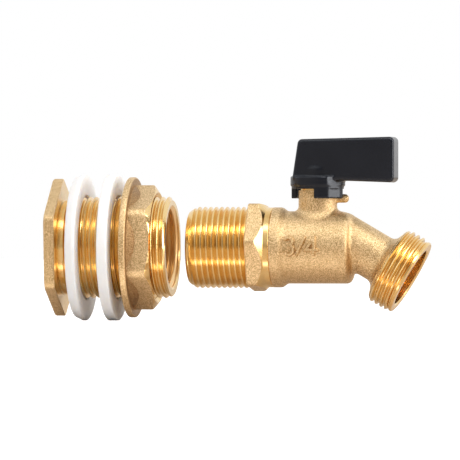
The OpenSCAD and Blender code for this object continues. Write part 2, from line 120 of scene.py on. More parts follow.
# %% Wires
class Wire:
    """One output in a node tree."""

    def __init__(self, tree, socket=None):
        self.tree = tree
        self.socket = socket

    def node(self, kind, settings=None, sockets=None, out=0):
        """Adds a node: its settings first, then the values or wires of its inputs."""
        made = self.tree.nodes.new(kind)
        for key, value in (settings or {}).items():
            if key == "stops":
                ramp = made.color_ramp.elements
                while len(ramp) < len(value):
                    ramp.new(1)
                for stop, (place, colour) in zip(ramp, value):
                    stop.position, stop.color = place, colour
            else:
                setattr(made, key, value)
        for key, value in (sockets or {}).items():
            if isinstance(value, Wire):
                self.tree.links.new(value.socket, made.inputs[key])
            elif value is not None:
                made.inputs[key].default_value = value
        return Wire(self.tree, made.outputs[out] if made.outputs else None)

    def also(self, out):
        """Another output of the node that this wire comes from."""
        return Wire(self.tree, self.socket.node.outputs[out])

    def maths(self, operation, *others, first=None):
        values = [first, self] if first is not None else [self, *others]
        settings = {"operation": operation}
        return self.node("ShaderNodeMath", settings, dict(enumerate(values)))

    def __add__(self, other):
        return self.maths("ADD", other)

    def __radd__(self, other):
        return self.maths("ADD", first=other)

    def __sub__(self, other):
        return self.maths("SUBTRACT", other)

    def __rsub__(self, other):
        return self.maths("SUBTRACT", first=other)

    def __mul__(self, other):
        return self.maths("MULTIPLY", other)

    def __rmul__(self, other):
        return self.maths("MULTIPLY", first=other)

    def __truediv__(self, other):
        return self.maths("DIVIDE", other)

    def clamp(self, low, high):
        return self.maths("MAXIMUM", low).maths("MINIMUM", high)

    def smooth(self, low, high):
        """0 below low, 1 above high, and a soft step between them."""
        return self.node(
            "ShaderNodeMapRange",
            {"interpolation_type": "SMOOTHSTEP"},
            {"Value": self, "From Min": low, "From Max": high},
        )


def between(desk, factor, low, high):
    """A colour that goes from low to high with the factor."""
    return desk.node(
        "ShaderNodeMix", {"data_type": "RGBA"}, {"Factor": factor, 6: low, 7: high}, out=2
    )


print("wires ready")


# %% [markdown]
# ## Room, light and floor
#
# The photo is a packshot: pure white all round, a long soft box above the lens, its
# reflection in the table below, and a dim room that polished brass mirrors as warm
# brown. Metal shows what it mirrors more than its own colour, so the surroundings
# matter as much as the lamps. The world is white to the camera. For what the brass
# mirrors it is white only behind the set. Elsewhere it is a dim room, lighter on
# the left, with a dark band at the height of the set, which gives every raised edge
# a light and a dark side. Each pair of numbers is where one part starts to turn
# into the next, in the direction of a ray, which runs from -1 to 1.

# %% Make the world
WHITE = (1, 1, 1, 1)
ROOM_LEFT = (0.92, 0.86, 0.77, 1)
ROOM_RIGHT = (0.14, 0.12, 0.10, 1)
CEILING = (0.82, 0.79, 0.74, 1)
GROUND = (0.60, 0.56, 0.51, 1)
DARK_MIDDLE = (0.26, 0.20, 0.15, 1)
SOFT_LIGHT = 0.69
FLOOR_TO_TOP = LEFT_TO_RIGHT = (-0.5, 0.5)
OUT_OF_MIDDLE = (0.05, 0.35)
OUT_OF_ROOM = (0.35, 0.75)
INTO_BACKDROP = (-0.3, 0.0)
OVER_BACKDROP = (0.75, 0.97)

world = bpy.data.worlds.new("studio")
world.use_nodes = True
bpy.context.scene.world = world
world.node_tree.nodes.clear()
desk = Wire(world.node_tree)
towards = desk.node("ShaderNodeTexCoord", out="Generated")
facing = desk.node("ShaderNodeSeparateXYZ", None, {"Vector": towards}, out="Y")
height, aside = facing.also("Z"), facing.also("X")
steep = height.maths("ABSOLUTE")
upright = between(desk, height.smooth(*FLOOR_TO_TOP), GROUND, CEILING)
room = between(desk, aside.smooth(*LEFT_TO_RIGHT), ROOM_LEFT, ROOM_RIGHT)
room = between(desk, 0.5 - steep.smooth(*OUT_OF_MIDDLE) * 0.5, room, DARK_MIDDLE)
front = between(desk, steep.smooth(*OUT_OF_ROOM), room, upright)
backdrop = facing.smooth(*INTO_BACKDROP) * (1 - steep.smooth(*OVER_BACKDROP))
mirrored = between(desk, backdrop, front, WHITE)
ray = desk.node("ShaderNodeLightPath", out="Is Camera Ray")
mirror_ray = ray.also("Is Glossy Ray") + ray.also("Is Transmission Ray")
dim = desk.node("ShaderNodeBackground", None, {"Color": WHITE, "Strength": SOFT_LIGHT})
studio = desk.node("ShaderNodeBackground", None, {"Color": mirrored, "Strength": 1.0})
white = desk.node("ShaderNodeBackground", None, {"Color": WHITE, "Strength": 1.0})
seen = desk.node("ShaderNodeMixShader", None, {0: mirror_ray, 1: dim, 2: studio})
seen = desk.node("ShaderNodeMixShader", None, {0: ray, 1: seen, 2: white})
desk.node("ShaderNodeOutputWorld", None, {"Surface": seen})
print("world: white to the camera, a dim room for what the brass mirrors")


# %% [markdown]
# Three soft boxes light the set. The long one hangs above the lens and draws the
# upper line of light along the threads. The small one beside it picks out corners
# that look up and to the right, and the tall one stands beyond the outlet.

# %% Hang the lamps
LAMP_COLOUR = (1, 0.98, 0.95)
LAMP_AIM = (60, 0, 0)
LAMPS = {
    "long_box": ((120, -400, 690), (1300, 220), 2.6),
    "corner_box": ((418, -398, 594), (260, 220), 1.1),
    "side_box": ((810, -30, 90), (300, 640), 4.0),
}


def soft_box(name, place, size, watts):
    """A rectangular lamp at place, in millimetres, that faces the set."""
    lamp = bpy.data.lights.new(name, "AREA")
    lamp.shape = "RECTANGLE"
    lamp.size, lamp.size_y = (side * MM for side in size)
    lamp.energy = watts
    lamp.color = LAMP_COLOUR
    holder = bpy.data.objects.new(name, lamp)
    bpy.context.scene.collection.objects.link(holder)
    holder.location = Vector(place) * MM
    holder.rotation_mode = "QUATERNION"
    towards_set = Vector(LAMP_AIM) - Vector(place)
    holder.rotation_quaternion = towards_set.to_track_quat("-Z", "Y")
    holder.visible_camera = False


for name, (place, size, watts) in LAMPS.items():
    soft_box(name, place, size, watts)
print("lamps:", ", ".join(LAMPS))


# %% [markdown]
# The floor touches the washers' rims. For the camera a part of its white is its own
# and a part comes from the light that falls on it, so that the set still casts a
# faint shadow. To what the brass mirrors, the floor is a painted reflection: a darker,
# warmer table than the camera sees, with a faint glow of its own and one bright
# glowing band in front of the set, though no lamp is there. The band draws the lower
# line of light along the threads.

# %% Lay the floor
FLOOR_GLOW = 0.72
FLOOR_WHITE = (0.8, 0.8, 0.8, 1)
FLOOR_MIRRORED = (0.60, 0.50, 0.41, 1)
FLOOR_PAINTED_GLOW = 0.12
BAND = (-32, -25)
BAND_SOFT = 3
BAND_GLOW = 2.4
FLOOR_HALF = 6000
floor_z = min(box[0][2] for box in (connector_box, body_box, node_box("inner_washer")))

floor_mesh = bpy.data.meshes.new("floor")
floor_mesh.from_pydata(
    [(x * FLOOR_HALF * MM, y * FLOOR_HALF * MM, floor_z * MM)
     for x, y in ((-1, -1), (1, -1), (1, 1), (-1, 1))],
    [], [(0, 1, 2, 3)],
)
floor = bpy.data.objects.new("floor", floor_mesh)
bpy.context.scene.collection.objects.link(floor)
paper = bpy.data.materials.new("floor_paper")
paper.use_nodes = True
paper.node_tree.nodes.clear()
desk = Wire(paper.node_tree)
ray = desk.node("ShaderNodeLightPath", out="Is Camera Ray")
mirror_ray = (ray.also("Is Glossy Ray") + ray.also("Is Transmission Ray")).clamp(0, 1)
spot = desk.node("ShaderNodeTexCoord", out="Object")
ahead = desk.node("ShaderNodeSeparateXYZ", None, {"Vector": spot}, out="Y")
far_edge, near_edge = (edge * MM for edge in BAND)
soft = BAND_SOFT * MM
# A band of glow that only mirror rays see: painted reflection of a strip light lying in
# front of the set.
band = ahead.smooth(far_edge - soft, far_edge + soft)
band = band * (1 - ahead.smooth(near_edge - soft, near_edge + soft))
# Mirror rays see a darker, warmer floor colour than the camera does: painted reflection.
paper_colour = between(desk, mirror_ray, FLOOR_WHITE, FLOOR_MIRRORED)
matt = desk.node("ShaderNodeBsdfDiffuse", None, {"Color": paper_colour})
# For mirror rays the floor glows a little everywhere and strongly in the band: painted
# light.
strength = ray * FLOOR_GLOW + mirror_ray * (band * BAND_GLOW + FLOOR_PAINTED_GLOW)
glow = desk.node("ShaderNodeEmission", None, {"Color": WHITE, "Strength": strength})
both = desk.node("ShaderNodeAddShader", None, {0: matt, 1: glow})
desk.node("ShaderNodeOutputMaterial", None, {"Surface": both})
floor_mesh.materials.append(paper)
print(f"floor at z = {floor_z:.1f} mm")


# %% [markdown]
# ## Finishes
#
# All patterns read Object coordinates, in metres, so a grain of 0.3 millimetres
# needs a noise scale of about 3300. Each finish varies in colour and in roughness,
# and its fine relief is a Bump node.

# %% Start a material
def finish(name, metallic=0.0, **constants):
    """A new material: (material, desk, its main shader, object coordinates)."""
    made = bpy.data.materials.new(name)
    made.use_nodes = True
    shader = made.node_tree.nodes["Principled BSDF"]
    shader.inputs["Metallic"].default_value = metallic
    for key, value in constants.items():
        shader.inputs[key.replace("_", " ")].default_value = value
    desk = Wire(made.node_tree)
    return made, desk, shader, desk.node("ShaderNodeTexCoord", out="Object")


def noise(desk, point, scale, detail=3.0, roughness=0.55):
    return desk.node(
        "ShaderNodeTexNoise", None,
        {"Vector": point, "Scale": scale, "Detail": detail, "Roughness": roughness},
    )


def connect(desk, shader, colour, roughness, relief=None, depth=0.0):
    """Links colour and roughness, and relief as a bump of the given depth in metres."""
    links = desk.tree.links
    links.new(colour.socket, shader.inputs["Base Color"])
    links.new(roughness.socket, shader.inputs["Roughness"])
    if relief is not None:
        bump = desk.node(
            "ShaderNodeBump", None, {"Height": relief, "Distance": depth, "Strength": 1.0}
        )
        links.new(bump.socket, shader.inputs["Normal"])


# %% [markdown]
# ### Cast brass
#
# The body, the nut and the flats of the hexagons keep the skin of the sand mould,
# blasted clean: a matt gold with a grain like fine sandpaper. It is metal of
# middling roughness with a bump from two noises, because a real casting has both
# fine grain and slow waves. The corner between the nut's flange and its hexagon
# gets a second, much darker brass: painted shade where the flange shades that corner.

# %% Mix the cast brass
SAND_GRAIN = 3300
SAND_WAVES = 700
SAND_STAINS = 90
SAND_DEPTH = 0.00015
WAVE_SHARE = 0.08
STAIN_SHARE = 0.2


def blasted(name, dark, light, stained):
    """Sand-cast brass between a dark and a light colour, with darker stains."""
    made, desk, shader, point = finish(name, metallic=1.0)
    grain = noise(desk, point, SAND_GRAIN, 1.0, 0.7)
    waves = noise(desk, point, SAND_WAVES, 3.0)
    stain = noise(desk, point, SAND_STAINS, 2.0)
    fine, slow = grain.smooth(0.36, 0.64), waves.smooth(0.3, 0.7)
    speckle = fine * (1 - WAVE_SHARE) + slow * WAVE_SHARE
    colour = between(desk, speckle, dark, light)
    colour = between(desk, stain.smooth(0.5, 0.8) * STAIN_SHARE, colour, stained)
    connect(desk, shader, colour, grain * 0.14 + 0.38, grain + waves * 0.1, SAND_DEPTH)
    print("finish:", made.name)
    return made


cast_brass = blasted(
    "brass_blasted", (0.46, 0.295, 0.123, 1), (0.95, 0.73, 0.44, 1), (0.58, 0.38, 0.18, 1)
)
# Painted shade: a much darker copy of the cast brass, for the corner under the nut's
# flange.
corner_shade_brass = blasted(
    "brass_painted_corner_shade", (0.21, 0.115, 0.045, 1), (0.54, 0.345, 0.17, 1), (0.26, 0.15, 0.06, 1)
)


# %% [markdown]
# ### Turned brass
#
# Threads, collars and faces are turned: a deep gold, nearly a mirror, with
# hair-fine rings round the axis. The rings come from noise that is squeezed along
# the axis. The bores get a rougher kind, because a boring bar leaves coarser rings.
# Their colour is lighter and redder: painted light for the orange glow that light
# bouncing from wall to wall gives inside a bore.

# %% Mix the turned brass
RING_SCALE = (6000, 60, 60)
RING_DEPTH = 0.000006
TURNED_STAINS = 160


def turned(name, bright, deep, polish):
    """Brass from the lathe, with rings round the axis and two shades of gold."""
    made, desk, shader, point = finish(name, metallic=1.0)
    squeezed = desk.node("ShaderNodeMapping", None, {"Vector": point, "Scale": RING_SCALE})
    rings = noise(desk, squeezed, 1.0, 2.0)
    stain = noise(desk, point, TURNED_STAINS, 3.0)
    colour = between(desk, stain.smooth(0.35, 0.7), bright, deep)
    connect(desk, shader, colour, rings * 0.10 + stain * 0.06 + polish, rings, RING_DEPTH)
    print("finish:", made.name)
    return made


turned_brass = turned("brass_lathed", (0.88, 0.64, 0.30, 1), (0.83, 0.54, 0.21, 1), 0.13)
# The bore's lighter, redder colour is painted light for the bounce inside bores.
bore_brass_painted_light = turned("brass_bore_painted_light", (0.99, 0.73, 0.40, 1), (0.95, 0.64, 0.31, 1), 0.28)


# %% [markdown]
# ### Plastics, rubber and steel
#
# The washers are milky polyethylene: nearly white, waxy, and slightly see-through
# at the rim. The lever is black nylon with a smooth skin that mirrors the lamps
# softly. What hides inside the valve gets plain but honest finishes too, because a
# part may be opened up. All of them are one kind: a slow cloud of noise moves the
# colour and the roughness a little, and a finer one makes the orange peel of a
# moulded skin.

# %% Mix the plastics
def clouded(name, scale, detail, low, high, spread, polish, soft=False, peel=None,
            depth=0.0, **constants):
    """A finish between two colours. Its roughness starts at polish."""
    made, desk, shader, point = finish(name, **constants)
    cloud = noise(desk, point, scale, detail)
    colour = between(desk, cloud.smooth(0.3, 0.7) if soft else cloud, low, high)
    relief = noise(desk, point, peel, 2.0) if peel else cloud if depth else None
    connect(desk, shader, colour, cloud * spread + polish, relief, depth)
    print("finish:", made.name)
    return made


washer_plastic = clouded(
    "plastic_milky", 130, 3.0, (0.91, 0.88, 0.865, 1), (0.94, 0.92, 0.91, 1), 0.12, 0.34,
    soft=True, peel=1500, depth=0.00002, Subsurface_Weight=0.7, Subsurface_Scale=0.006,
    Subsurface_Radius=(1.0, 0.85, 0.7), IOR=1.51,
)
lever_plastic = clouded(
    "plastic_black", 75, 3.0, (0.0030, 0.0045, 0.0090, 1), (0.0050, 0.0068, 0.0120, 1),
    0.10, 0.20, soft=True, peel=900, depth=0.000012, IOR=1.46,
    Specular_Tint=(0.88, 0.92, 1.0, 1),
)
seat_plastic = clouded(
    "plastic_seat", 400, 2.0, (0.86, 0.86, 0.83, 1), (0.93, 0.93, 0.91, 1), 0.15, 0.35,
    IOR=1.38,
)


# %% Mix the rubber, the chrome and the steel
seal_rubber = clouded(
    "rubber_seal", 900, 2.0, (0.012, 0.012, 0.012, 1), (0.025, 0.025, 0.026, 1), 0.2, 0.5,
    depth=0.00001,
)
ball_chrome = clouded(
    "chrome_ball", 300, 2.0, (0.70, 0.70, 0.72, 1), (0.78, 0.78, 0.79, 1), 0.05, 0.06,
    metallic=1.0,
)
screw_steel = clouded(
    "steel_screw", 1200, 3.0, (0.52, 0.52, 0.53, 1), (0.66, 0.66, 0.67, 1), 0.2, 0.25,
    depth=0.000008, metallic=1.0,
)


# %% [markdown]
# ## Threads from Geometry Nodes
#
# A screw thread is one small profile that climbs round a cylinder. The tree below
# lays a grid round the axis and slides every column along it by its share of a
# turn, so that the crest of the thread runs along the edges of the grid. The
# height of the ridge depends on how far a point is from the nearest crest, and it
# fades out at both ends, as the tool's bevel does. A modelled helix catches the
# light as the real one does, which rings or a bump could not do.

# %% Build the thread tree
COLUMNS = 240
ROWS_PER_TURN = 8
SEAM = 0.0005

thread_tree = bpy.data.node_groups.new("screw_thread", "GeometryNodeTree")
sockets = thread_tree.interface
sockets.new_socket("Geometry", in_out="OUTPUT", socket_type="NodeSocketGeometry")
THREAD_SIZES = (
    "Start", "End", "Pitch", "Crest Radius", "Root Radius", "Crest Share", "Root Share",
    "Start Ring", "End Ring", "Start Height", "End Height", "Bevel", "Phase", "Turn",
)
for label in THREAD_SIZES:
    sockets.new_socket(label, in_out="INPUT", socket_type="NodeSocketFloat")
for label in ("Columns", "Rows"):
    sockets.new_socket(label, in_out="INPUT", socket_type="NodeSocketInt")
sockets.new_socket("Material", in_out="INPUT", socket_type="NodeSocketMaterial")

desk = Wire(thread_tree)
start = desk.node("NodeGroupInput", out="Start")
(end, pitch, crest_r, root_r, crest_share, root_share, start_ring, end_ring,
 start_height, end_height, bevel, phase, turn) = map(start.also, THREAD_SIZES[1:])
columns, rows, skin = map(start.also, ("Columns", "Rows", "Material"))

turns = ((end - start) / pitch).maths("CEIL") + 2
row_count = turns * rows + 1
index = desk.node("GeometryNodeInputIndex")
column = (index / row_count).maths("FLOOR")
row = index - column * row_count
angle = turn + column / columns * math.tau
z = (start + pitch * ((row - 1) / rows - 1 + column / columns)).maths("MAXIMUM", start)
z = z.maths("MINIMUM", end)

climb = (z - phase) / pitch - angle / math.tau
from_crest = (climb.maths("FRACT") * 2 - 1).maths("ABSOLUTE")
straight = ((from_crest - root_share) / (1 - root_share - crest_share)).clamp(0, 1)
ridge = straight * 0.5 + straight.smooth(0.0, 1.0) * 0.5
ridge = ridge.maths("MINIMUM", start_height + (z - start) / bevel)
ridge = ridge.maths("MINIMUM", end_height + (end - z) / bevel)
radius = root_r + (crest_r - root_r) * ridge
first = row.maths("LESS_THAN", 0.5)
last = row.maths("GREATER_THAN", row_count - 1.5)
radius = radius * (1 - first - last) + start_ring * first + end_ring * last

grid = desk.node(
    "GeometryNodeMeshGrid", None, {"Vertices X": columns + 1, "Vertices Y": row_count}
)
place = desk.node(
    "ShaderNodeCombineXYZ", None,
    {"X": radius * angle.maths("COSINE"), "Y": radius * angle.maths("SINE"), "Z": z},
)
shaped = desk.node("GeometryNodeSetPosition", None, {"Geometry": grid, "Position": place})
merged = desk.node(
    "GeometryNodeMergeByDistance", None, {"Geometry": shaped, "Distance": SEAM}
)
real = desk.node("GeometryNodeRealizeInstances", None, {"Geometry": merged})
coated = desk.node("GeometryNodeSetMaterial", None, {"Geometry": real, "Material": skin})
desk.node("NodeGroupOutput", None, {"Geometry": coated})
print("thread tree:", len(thread_tree.nodes), "nodes")


# %% Cut a thread
THREAD_DEPTH_SHARE = 0.62
INSIDE_DEPTH_SHARE = 0.86


def thread(material, **sizes):
    """A thread along Z, in millimetres, as a bmesh that other surfaces can join."""
    holder = bpy.data.objects.new("thread", bpy.data.meshes.new("thread"))
    bpy.context.scene.collection.objects.link(holder)
    modifier = holder.modifiers.new("thread", "NODES")
    modifier.node_group = thread_tree
    values = {"Columns": COLUMNS, "Rows": ROWS_PER_TURN, "Material": material}
    values.update({"Turn": 0.0, "Start Height": 0.0, "End Height": 0.0})
    values.update({key.replace("_", " ").title(): value for key, value in sizes.items()})
    for item in thread_tree.interface.items_tree:
        if item.in_out == "INPUT":
            modifier[item.identifier] = values[item.name]
    graph = bpy.context.evaluated_depsgraph_get()
    made = bpy.data.meshes.new_from_object(holder.evaluated_get(graph), depsgraph=graph)
    bpy.data.objects.remove(holder)
    return made


def inside_thread(material, bore_r, pitch, **sizes):
    """A thread in a bore, a little shallower than the outside one that fits it."""
    return thread(
        material, pitch=pitch, root_radius=bore_r, start_ring=bore_r, end_ring=bore_r,
        crest_radius=bore_r - pitch * THREAD_DEPTH_SHARE * INSIDE_DEPTH_SHARE,
        crest_share=0.1, root_share=0.14, **sizes,
    )


# %% [markdown]
# ## Turned surfaces and hexagons
#
# Everything else on these parts is rings round an axis: a bore, a face, a bevel, or
# the flats of a hexagon, whose rings have a radius that changes with the angle. A
# wall is a list of rings, and walls and threads join where their rings meet.

# %% Make walls from rings
CORNER_SOFT = 0.35
angles = np.linspace(0, math.tau, COLUMNS, endpoint=False)


def wall(rings, turn=0.0):
    """Points and faces that join rings of (radius, height). Both may be arrays."""
    a = angles + turn
    points = [
        np.column_stack([r * np.cos(a), r * np.sin(a), np.broadcast_to(z, a.shape)])
        for r, z in ((np.broadcast_to(r, a.shape), z) for r, z in rings)
    ]
    faces = [
        (k * COLUMNS + i, k * COLUMNS + (i + 1) % COLUMNS,
         (k + 1) * COLUMNS + (i + 1) % COLUMNS, (k + 1) * COLUMNS + i)
        for k in range(len(rings) - 1) for i in range(COLUMNS)
    ]
    return np.concatenate(points), faces


def rounded(corner, radius, start, stop, steps=4):
    """Rings along an arc round the corner's centre, between two angles in degrees."""
    return [
        (corner[0] + radius * math.cos(math.radians(t)),
         corner[1] + radius * math.sin(math.radians(t)))
        for t in np.linspace(start, stop, steps + 1)
    ]


def hexagon(across, corner_d):
    """Radius of a hexagon at each angle, with its corners trimmed round and softened."""
    flat = angles % (math.pi / 3) - math.pi / 6
    radius = across / 2 / np.cos(flat)
    gap = np.clip(1 - np.abs(radius - corner_d / 2) / CORNER_SOFT, 0, None)
    return np.minimum(radius, corner_d / 2) - CORNER_SOFT / 4 * gap ** 2


# %% Put a piece together
ALONG_X = Matrix.Rotation(math.pi / 2, 4, "Y")
SHARP_EDGE = math.radians(32)
MERGE = 0.0008


def piece(name, parts, body, nodes, place=Matrix.Identity(4)):
    """Joins walls, threads and meshes into one object, in metres, at its place.

    A mesh that brings its own materials comes alone, with None for its material.
    """
    joined = bmesh.new()
    materials = []
    for part, material in parts:
        if material is None:
            materials = list(part.materials)
        elif material not in materials:
            materials.append(material)
        number = materials.index(material) if material else 0
        known = len(joined.faces)
        if isinstance(part, bpy.types.Mesh):
            joined.from_mesh(part)
            bpy.data.meshes.remove(part)
        else:
            points, faces = part
            corners = [joined.verts.new(p) for p in points]
            for face in faces:
                joined.faces.new([corners[i] for i in face])
        joined.faces.ensure_lookup_table()
        for face in joined.faces[known:]:
            if material:
                face.material_index = number
            face.smooth = True
    if all(material for part, material in parts):
        bmesh.ops.remove_doubles(joined, verts=joined.verts, dist=MERGE)
        bmesh.ops.dissolve_degenerate(joined, edges=joined.edges, dist=MERGE / 2)
    bmesh.ops.recalc_face_normals(joined, faces=joined.faces)
    for edge in joined.edges:
        edge.smooth = len(edge.link_faces) == 2 and edge.calc_face_angle(0) < SHARP_EDGE
    open_edges = sum(len(edge.link_faces) != 2 for edge in joined.edges)
    joined.transform(Matrix.Scale(MM, 4) @ place)
    mesh = bpy.data.meshes.new(name)
    joined.to_mesh(mesh)
    joined.free()
    for material in materials:
        mesh.materials.append(material)
    made = bpy.data.objects.new(name, mesh)
    bpy.context.scene.collection.objects.link(made)
    if body:
        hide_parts(*nodes)
        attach(made, body)
    print(f"{name}: {len(mesh.polygons)} faces, {open_edges} open edges")
    return made


# %% [markdown]
# ## The tank connector
#
# It is turned from hexagon bar: a thin head with bevelled corners that stays inside
# the butt, a shank with an outside thread for the nut, and a bore with an inside
# thread for the tap. The flats of the head keep the matt skin of the bar, and all
# that the lathe has cut is bright. The bore has the lighter, redder brass, whose
# colour is painted light for the bounce inside it.

# %% Make the connector
HEAD_ACROSS = (39.4, 44.8)
HEAD_TURN = math.radians(4.8)
HEAD_BEVEL = 0.3
HEAD_EDGE = 0.25
LEAST_BEVEL = 0.15
SHANK_R = 16.5
SHANK_PITCH = 2.0
SHANK_CREST_X = 3.6
SHANK_ROOT_R = SHANK_R - SHANK_PITCH * THREAD_DEPTH_SHARE
GROOVE_END = 1.9
GROOVE_EDGE = 0.4
PIPE_R = 13.22
PIPE_PITCH = 1.814
PIPE_ROOT_R = PIPE_R - PIPE_PITCH * THREAD_DEPTH_SHARE
PIPE_CREST_X = 43.837
BORE_R = PIPE_R + 0.2
BORE_BEVEL = 0.3
TAN_BEVEL = math.tan(math.radians(30))

head_low, rim_x = connector_box[0][0], connector_box[1][0]
head = hexagon(*HEAD_ACROSS)
head_face_r = np.minimum(head - LEAST_BEVEL, HEAD_ACROSS[1] / 2 - HEAD_BEVEL / TAN_BEVEL)
bevel_z = head_low + np.clip((head - head_face_r) * TAN_BEVEL, LEAST_BEVEL, None)
flats = wall([
    (head_face_r, head_low), (head - 0.1, bevel_z), (head, bevel_z + HEAD_EDGE),
    (head, -HEAD_EDGE), (head - HEAD_EDGE, 0),
], HEAD_TURN)
head_face = wall([(BORE_R + BORE_BEVEL, head_low), (head_face_r, head_low)], HEAD_TURN)
sealing_face = wall([
    (head - HEAD_EDGE, 0), (SHANK_ROOT_R + GROOVE_EDGE, 0), (SHANK_ROOT_R, GROOVE_EDGE),
    (SHANK_ROOT_R, GROOVE_END),
], HEAD_TURN)
shank = thread(
    turned_brass, start=GROOVE_END, end=rim_x, pitch=SHANK_PITCH, crest_radius=SHANK_R,
    root_radius=SHANK_ROOT_R, crest_share=0.14, root_share=0.12, start_ring=SHANK_ROOT_R,
    end_ring=BORE_R + BORE_BEVEL, end_height=0.35, bevel=1.1, phase=SHANK_CREST_X,
    turn=HEAD_TURN,
)
bore = inside_thread(
    bore_brass_painted_light, BORE_R, PIPE_PITCH, start=head_low + BORE_BEVEL, end=rim_x - BORE_BEVEL,
    bevel=0.5, phase=PIPE_CREST_X + PIPE_PITCH / 2, turn=HEAD_TURN,
)
bevel_in = wall([
    (BORE_R + BORE_BEVEL, head_low), (BORE_R, head_low + BORE_BEVEL),
], HEAD_TURN)
bevel_out = wall([(BORE_R, rim_x - BORE_BEVEL), (BORE_R + BORE_BEVEL, rim_x)], HEAD_TURN)
piece(
    "connector_turned",
    [(flats, cast_brass), (head_face, turned_brass), (sealing_face, turned_brass),
     (shank, turned_brass), (bore, bore_brass_painted_light), (bevel_in, turned_brass),
     (bevel_out, turned_brass)],
    "connector", ["tank_connector"], ALONG_X,
)


# %% [markdown]
# ## The two washers
#
# Moulded rings of milky plastic. The inner one has a sloping rim, the outer one is
# flat. A ring with rounded edges is one closed list of rings, turned once.

# %% Make the washers
WASHER_BORE_R = 16.8
WASHER_R = 23.8
WASHER_H = 3.4
EDGE_R = 0.45
EDGE_BEVEL = 0.3
SLOPE_AT = -20


def washer(name, x, slope, lip):
    """A washer whose rim is smaller by slope on the low side, up to the height lip."""
    low_r = WASHER_R - slope
    rings = [
        (WASHER_BORE_R, x + EDGE_BEVEL), (WASHER_BORE_R + EDGE_BEVEL, x),
        *rounded((low_r - EDGE_R, x + EDGE_R), EDGE_R, -90, SLOPE_AT),
        *rounded((WASHER_R - EDGE_R, x + max(lip, EDGE_R)), EDGE_R, SLOPE_AT, 0, 2),
        *rounded((WASHER_R - EDGE_R, x + WASHER_H - EDGE_R), EDGE_R, 0, 90),
        (WASHER_BORE_R + EDGE_BEVEL, x + WASHER_H),
        (WASHER_BORE_R, x + WASHER_H - EDGE_BEVEL),
        (WASHER_BORE_R, x + EDGE_BEVEL),
    ]
    piece(
        name + "_moulded", [(wall(rings), washer_plastic)],
        name, [name], ALONG_X,
    )


washer("inner_washer", node_box("inner_washer")[0][0], 0.9, 2.4)
washer("outer_washer", node_box("outer_washer")[0][0], 0.0, 0.5)


# %% [markdown]
# ## The flanged nut
#
# A casting with a hexagon and a round flange. Its thread, its bevels and the crown
# at the hexagon's end are turned bright. The crown's edge is a cone, and where a
# cone meets flats it draws the scallops that every nut has. A second, steeper cone
# leads from the flange to the feet of the flats. Its brass is much darker: painted
# shade for the corner where the flange shades the flats. The rings at the edges of
# both cones are put exactly on those curves.

# %% Make the nut
NUT_ACROSS = (36.2, 40.6)
NUT_TURN = math.radians(-5.1)
FLANGE_R = 22.85
FLANGE_H = 2.1
FLANGE_EDGE = 0.5
NUT_BORE_R = 16.7
NUT_BEVEL = 1.1
CHAMFER_TAN = 0.62
CROWN_R = 18.05
CROWN_EDGE = 0.12
CONE_R = 19.8
CONE_SLOPE = 1.5

nut_low, nut_high = nut_box[0][0], nut_box[1][0]
nut_hex = hexagon(*NUT_ACROSS)
crown = np.minimum(nut_hex - LEAST_BEVEL, CROWN_R)
scallop_z = nut_high - np.clip((nut_hex - crown) * CHAMFER_TAN, LEAST_BEVEL, None)
cone_z = nut_low + FLANGE_H + np.maximum(CONE_R - nut_hex, 0) * CONE_SLOPE
flange_rim_r, flange_top = FLANGE_R - FLANGE_EDGE, nut_low + FLANGE_H
flange = wall([
    (NUT_BORE_R + NUT_BEVEL, nut_low), (flange_rim_r, nut_low),
    *rounded((flange_rim_r, nut_low + FLANGE_EDGE), FLANGE_EDGE, -90, 0, 3),
    *rounded((flange_rim_r, flange_top - FLANGE_EDGE), FLANGE_EDGE, 0, 90, 3),
], NUT_TURN)
# This cone wall gets the darker brass: painted shade under the flange.
corner = wall([
    (flange_rim_r, flange_top), (CONE_R, flange_top), (nut_hex, cone_z),
], NUT_TURN)
nut_flats = wall([
    (nut_hex, cone_z), (nut_hex, cone_z + 0.2), (nut_hex, scallop_z - 0.25),
    (nut_hex - CROWN_EDGE, scallop_z),
], NUT_TURN)
nut_crown = wall([
    (nut_hex - CROWN_EDGE, scallop_z), (crown, nut_high),
    (NUT_BORE_R + NUT_BEVEL, nut_high),
], NUT_TURN)
nut_thread = inside_thread(
    turned_brass, NUT_BORE_R, SHANK_PITCH, start=nut_low + NUT_BEVEL,
    end=nut_high - NUT_BEVEL, bevel=1.1, phase=SHANK_CREST_X + SHANK_PITCH / 2,
    turn=NUT_TURN,
)
nut_bevels = [
    wall([(NUT_BORE_R + NUT_BEVEL, face), (NUT_BORE_R, face + inwards)][::order], NUT_TURN)
    for face, inwards, order in ((nut_low, NUT_BEVEL, 1), (nut_high, -NUT_BEVEL, -1))
]
piece(
    "nut_cast",
    [(flange, cast_brass), (corner, corner_shade_brass), (nut_flats, cast_brass),
     (nut_crown, turned_brass), (nut_thread, turned_brass),
     *((bevel, turned_brass) for bevel in nut_bevels)],
    "nut", ["flange_nut"], ALONG_X,
)


# %% [markdown]
# ## The inlet tail
#
# The tail screws into the connector. Its hexagon is a casting, its thread and the
# collar behind the hexagon are turned. The bevel between them is cut by the same
# tool as the collar and is as bright.

# %% Make the tail
TAIL_ACROSS = (27.0, 30.8)
TAIL_TURN = math.radians(22.7)
TAIL_EDGE = 0.3
TAIL_BEVEL_TAN = TAN_BEVEL * 1.9
TAIL_BORE_R = 8.0
TAIL_HEX_X = 61.5
TAIL_HEX_H = 5.8
COLLAR_R = 13.0
COLLAR_H = 2.0
SPIGOT_R = 9.95
WAY_R = 5.5

